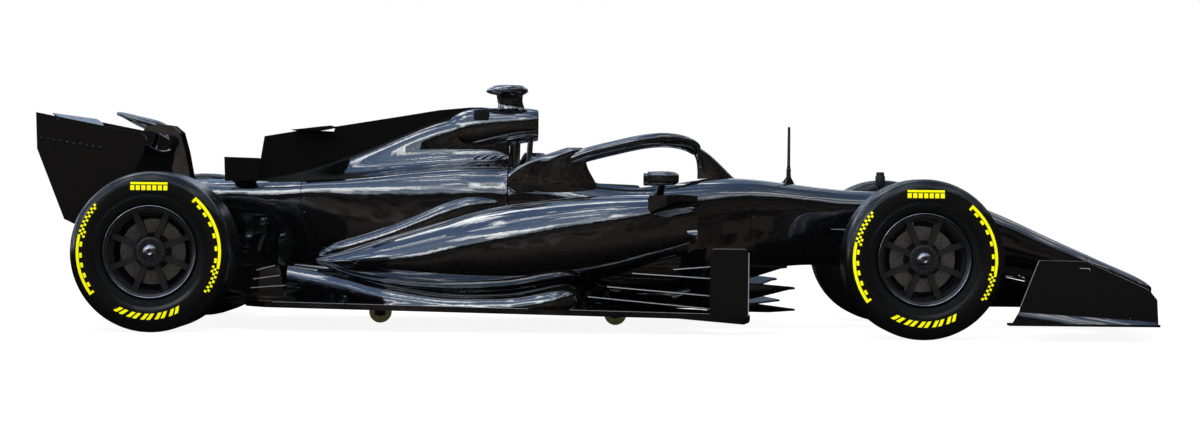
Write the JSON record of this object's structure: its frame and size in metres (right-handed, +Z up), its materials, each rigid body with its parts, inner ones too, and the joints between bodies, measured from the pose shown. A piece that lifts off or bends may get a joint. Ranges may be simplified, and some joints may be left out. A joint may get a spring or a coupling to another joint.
{
  "type": "open wheel racing car",
  "caption": "Single-seat open wheel racing car with cockpit halo, slick tyres, multi-element wings, finned engine cover and steered front wheels.",
  "frame": {"origin": "on the ground under the middle of the car's length, on its middle plane", "axes": "+X forward to the nose, +Y to the car's left, +Z up"},
  "size_m": [4.909, 1.9002, 1.0762],
  "materials": {
    "carbon_gloss": "gloss black lacquer over woven carbon",
    "carbon_matt": "matt black carbon",
    "plank": "matt skid board",
    "pad": "padded dark cover",
    "seat_shell": "matt carbon shell",
    "engine_metal": "cast",
    "steel": "brushed",
    "aluminium": "machined",
    "tyre": "slick rubber",
    "rim_metal": "dark grey satin",
    "grip": "soft grip",
    "roller": "yellow plastic"
  },
  "bodies": {
    "chassis": {"survival_cell": "carbon_gloss", "nose_cone": "carbon_gloss", "engine_cover": "carbon_gloss", "shark_fin": "carbon_gloss", "roll_hoop": "carbon_gloss", "sidepods": "carbon_gloss", "floor": "carbon_gloss", "plank": "plank", "diffuser": "carbon_matt", "bargeboards": "carbon_matt", "halo": "carbon_gloss", "camera_pod": "carbon_gloss", "antenna": "carbon_matt", "mirrors": "carbon_gloss", "headrest": "pad", "seat": "seat_shell", "engine_block": "engine_metal", "gearbox": "carbon_matt", "exhaust": "steel", "front_suspension": "carbon_gloss", "rear_suspension": "carbon_gloss", "rear_uprights": "aluminium", "front_mainplane": "carbon_gloss", "front_flaps": "carbon_gloss", "front_endplates": "carbon_matt", "rear_mainplane": "carbon_gloss", "rear_endplates": "carbon_matt", "swan_necks": "carbon_gloss", "t_wing": "carbon_gloss", "roller_brackets": "aluminium"},
    "knuckle_right": {"upright_front_right": "aluminium"},
    "wheel_front_right": {"tyre_front_right": "tyre", "rim_front_right": "rim_metal"},
    "wheel_rear_right": {"tyre_rear_right": "tyre", "rim_rear_right": "rim_metal"},
    "knuckle_left": {"upright_front_left": "aluminium"},
    "wheel_front_left": {"tyre_front_left": "tyre", "rim_front_left": "rim_metal"},
    "wheel_rear_left": {"tyre_rear_left": "tyre", "rim_rear_left": "rim_metal"},
    "steering_rod": {"steering_rod": "steel"},
    "handwheel": {"handwheel": "grip"},
    "rear_flap": {"rear_flap": "carbon_gloss"},
    "roller_front": {"roller_front": "roller"},
    "roller_rear": {"roller_rear": "roller"}
  },
  "joints": [
    {"name": "steer_right", "type": "hinge", "parent": "chassis", "child": "knuckle_right", "pos_m": [1.326, -0.764, 0.335], "axis": [0, 0, 1], "range_deg": [-18, 18]},
    {"name": "spin_front_right", "type": "hinge", "parent": "knuckle_right", "child": "wheel_front_right", "pos_m": [1.326, -0.805, 0.335], "axis": [0, 1, 0], "continuous": true},
    {"name": "spin_rear_right", "type": "hinge", "parent": "chassis", "child": "wheel_rear_right", "pos_m": [-1.894, -0.76, 0.335], "axis": [0, 1, 0], "continuous": true},
    {"name": "steer_left", "type": "hinge", "parent": "chassis", "child": "knuckle_left", "pos_m": [1.326, 0.764, 0.335], "axis": [0, 0, 1], "range_deg": [-18, 18]},
    {"name": "spin_front_left", "type": "hinge", "parent": "knuckle_left", "child": "wheel_front_left", "pos_m": [1.326, 0.805, 0.335], "axis": [0, 1, 0], "continuous": true},
    {"name": "spin_rear_left", "type": "hinge", "parent": "chassis", "child": "wheel_rear_left", "pos_m": [-1.894, 0.76, 0.335], "axis": [0, 1, 0], "continuous": true},
    {"name": "rod_slide", "type": "slide", "parent": "chassis", "child": "steering_rod", "axis": [0, 1, 0], "range_m": [-0.0325, 0.0325]},
    {"name": "handwheel_turn", "type": "hinge", "parent": "chassis", "child": "handwheel", "pos_m": [0.372, 0, 0.566], "axis": [1, 0, 0], "range_deg": [-165, 165]},
    {"name": "flap_lift", "type": "hinge", "parent": "chassis", "child": "rear_flap", "pos_m": [-2.362, 0, 0.893], "axis": [0, -1, 0], "range_deg": [0, 22]},
    {"name": "roller_front_spin", "type": "hinge", "parent": "chassis", "child": "roller_front", "pos_m": [0.049, 0, 0.055], "axis": [0, 1, 0], "continuous": true},
    {"name": "roller_rear_spin", "type": "hinge", "parent": "chassis", "child": "roller_rear", "pos_m": [-1.007, 0, 0.055], "axis": [0, 1, 0], "continuous": true}
  ],
  "couplings": [
    {"joint": "steer_left", "follows": "steer_right", "ratio": 1},
    {"joint": "rod_slide", "follows": "steer_right", "m_per_rad": -0.1},
    {"joint": "handwheel_turn", "follows": "steer_right", "ratio": -9}
  ]
}
